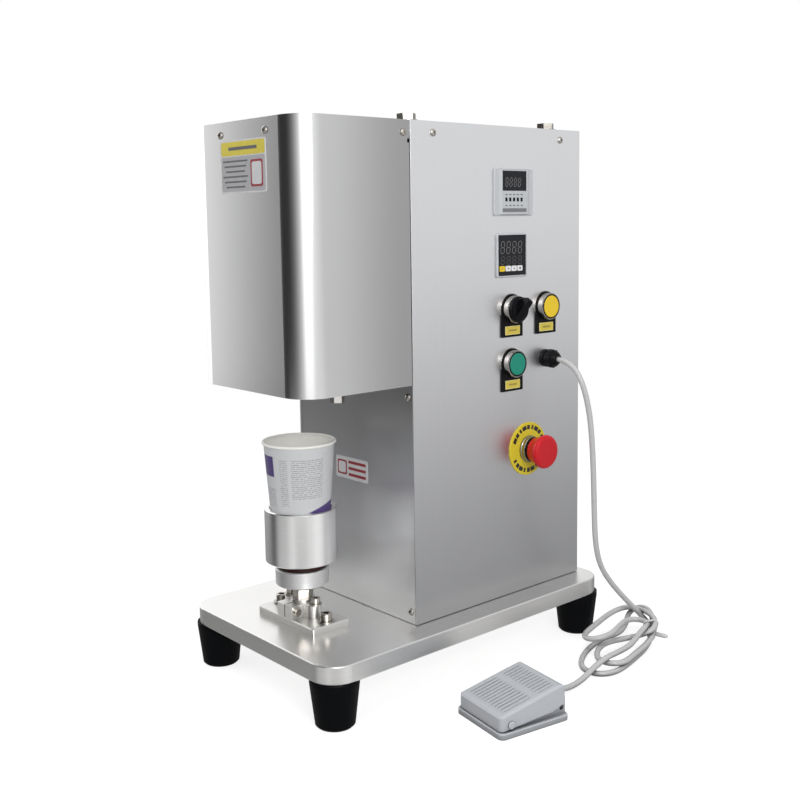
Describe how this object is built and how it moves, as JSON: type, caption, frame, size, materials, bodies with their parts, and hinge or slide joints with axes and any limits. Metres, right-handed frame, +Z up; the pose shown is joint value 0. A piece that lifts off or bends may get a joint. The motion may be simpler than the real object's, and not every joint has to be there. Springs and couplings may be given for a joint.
{
  "type": "cup sealing machine",
  "caption": "Bench-top cup sealing machine with a heated press in a boxed head, a cup holder on a base plate, a control panel at its side and a foot pedal on a cable.",
  "frame": {"origin": "on the floor under the middle of the base plate", "axes": "+Z up, -Y to the front where the cup stands, +X to the control panel"},
  "size_m": [0.3825, 0.4466, 0.595],
  "materials": {
    "plate_metal": "thick plate with finely milled edges",
    "black_rubber": "satin moulded rubber",
    "bolt_steel": "stainless fasteners",
    "cabinet_steel": "finely brushed stainless sheet",
    "frame_steel": "plain grey paint",
    "gear_plastic": "matt moulded plastic",
    "black_plastic": "satin black plastic",
    "bronze": "sintered bronze",
    "turned_aluminium": "turned and polished",
    "polished_steel": "ground and polished",
    "red_silicone": "soft silicone",
    "printed_paper": "coated paper board with a pale print",
    "instrument_plastic": "satin silver grey plastic",
    "window_plastic": "smoked window",
    "yellow_plastic": "glossy",
    "white_plastic": "glossy",
    "green_plastic": "glossy",
    "red_plastic": "glossy",
    "bezel_chrome": "bright turned metal",
    "cable_grey": "soft light grey jacket",
    "pedal_grey": "satin moulded plastic"
  },
  "bodies": {
    "machine": {"base_plate": "plate_metal", "rubber_feet": "black_rubber", "hex_bolts": "bolt_steel", "front_panel": "cabinet_steel", "right_side_panel": "cabinet_steel", "left_side_panel": "cabinet_steel", "back_panel": "cabinet_steel", "roof_tray": "cabinet_steel", "head_cover": "cabinet_steel", "panel_screws": "bolt_steel", "inner_frame": "frame_steel", "control_gear": "gear_plastic", "power_inlet": "black_plastic", "cylinder_bracket": "frame_steel", "guide_bushes": "bronze", "air_cylinder": "turned_aluminium", "mounting_plate": "turned_aluminium", "shaft_support": "turned_aluminium", "socket_screws": "bolt_steel", "support_stud": "polished_steel", "lock_nut": "bolt_steel", "holder_ring": "turned_aluminium", "o_ring": "red_silicone", "cup_sleeve": "turned_aluminium", "timer_case": "instrument_plastic", "controller_case": "instrument_plastic", "display_windows": "window_plastic", "legend_plates": "black_plastic", "button_bezels": "bezel_chrome", "button_bodies": "black_plastic", "contact_blocks": "gear_plastic", "estop_plate": "yellow_plastic", "estop_collar": "bezel_chrome", "cable_gland": "black_plastic", "pedal_cable": "cable_grey", "cable_hank": "cable_grey", "pedal_base": "pedal_grey", "pedal_pin": "polished_steel", "pedal_switch": "black_plastic"},
    "press": {"piston_rod": "polished_steel", "press_plate": "turned_aluminium", "guide_rods": "polished_steel", "heater_block": "turned_aluminium", "sealing_die": "turned_aluminium"},
    "cup": {"paper_cup": "printed_paper"},
    "selector": {"selector_knob": "black_plastic"},
    "yellow_button": {"yellow_cap": "yellow_plastic"},
    "green_button": {"green_cap": "green_plastic"},
    "stop_plunger": {"estop_stem": "black_plastic"},
    "stop_mushroom": {"estop_head": "red_plastic"},
    "wheel_1": {"timer_wheel_1": "black_plastic"},
    "wheel_2": {"timer_wheel_2": "black_plastic"},
    "wheel_3": {"timer_wheel_3": "black_plastic"},
    "wheel_4": {"timer_wheel_4": "black_plastic"},
    "wheel_5": {"timer_wheel_5": "black_plastic"},
    "key_1": {"controller_key_1": "yellow_plastic"},
    "key_2": {"controller_key_2": "white_plastic"},
    "key_3": {"controller_key_3": "white_plastic"},
    "key_4": {"controller_key_4": "white_plastic"},
    "treadle": {"pedal_treadle": "pedal_grey"}
  },
  "joints": [
    {"name": "press_slide", "type": "slide", "parent": "machine", "child": "press", "axis": [0, 0, 1], "range_m": [-0.0557, 0]},
    {"name": "cup_lift", "type": "slide", "parent": "machine", "child": "cup", "axis": [0, 0, 1], "range_m": [0, 0.04]},
    {"name": "selector_turn", "type": "hinge", "parent": "machine", "child": "selector", "pos_m": [0.098, 0.0773, 0.39], "axis": [1, 0, 0], "range_deg": [0, 60]},
    {"name": "yellow_press", "type": "slide", "parent": "machine", "child": "yellow_button", "axis": [-1, 0, 0], "range_m": [0, 0.0035], "stiffness_N_per_m": 900},
    {"name": "green_press", "type": "slide", "parent": "machine", "child": "green_button", "axis": [-1, 0, 0], "range_m": [0, 0.0035], "stiffness_N_per_m": 900},
    {"name": "estop_push", "type": "slide", "parent": "machine", "child": "stop_plunger", "axis": [-1, 0, 0], "range_m": [0, 0.0037], "stiffness_N_per_m": 1800},
    {"name": "estop_twist", "type": "hinge", "parent": "stop_plunger", "child": "stop_mushroom", "pos_m": [0.098, 0.1038, 0.2304], "axis": [-1, 0, 0], "range_deg": [0, 40], "stiffness_Nm_per_rad": 0.1},
    {"name": "wheel_1_turn", "type": "hinge", "parent": "machine", "child": "wheel_1", "pos_m": [0.0965, 0.0667, 0.509], "axis": [0, 1, 0], "continuous": true},
    {"name": "wheel_2_turn", "type": "hinge", "parent": "machine", "child": "wheel_2", "pos_m": [0.0965, 0.0727, 0.509], "axis": [0, 1, 0], "continuous": true},
    {"name": "wheel_3_turn", "type": "hinge", "parent": "machine", "child": "wheel_3", "pos_m": [0.0965, 0.0787, 0.509], "axis": [0, 1, 0], "continuous": true},
    {"name": "wheel_4_turn", "type": "hinge", "parent": "machine", "child": "wheel_4", "pos_m": [0.0965, 0.0847, 0.509], "axis": [0, 1, 0], "continuous": true},
    {"name": "wheel_5_turn", "type": "hinge", "parent": "machine", "child": "wheel_5", "pos_m": [0.0965, 0.0907, 0.509], "axis": [0, 1, 0], "continuous": true},
    {"name": "key_1_press", "type": "slide", "parent": "machine", "child": "key_1", "axis": [-1, 0, 0], "range_m": [0, 0.0006], "stiffness_N_per_m": 800},
    {"name": "key_2_press", "type": "slide", "parent": "machine", "child": "key_2", "axis": [-1, 0, 0], "range_m": [0, 0.0006], "stiffness_N_per_m": 800},
    {"name": "key_3_press", "type": "slide", "parent": "machine", "child": "key_3", "axis": [-1, 0, 0], "range_m": [0, 0.0006], "stiffness_N_per_m": 800},
    {"name": "key_4_press", "type": "slide", "parent": "machine", "child": "key_4", "axis": [-1, 0, 0], "range_m": [0, 0.0006], "stiffness_N_per_m": 800},
    {"name": "pedal_hinge", "type": "hinge", "parent": "machine", "child": "treadle", "pos_m": [0.20538, -0.06962, 0.0115], "axis": [0.9863, -0.165, 0], "range_deg": [-5, 0], "stiffness_Nm_per_rad": 8}
  ]
}
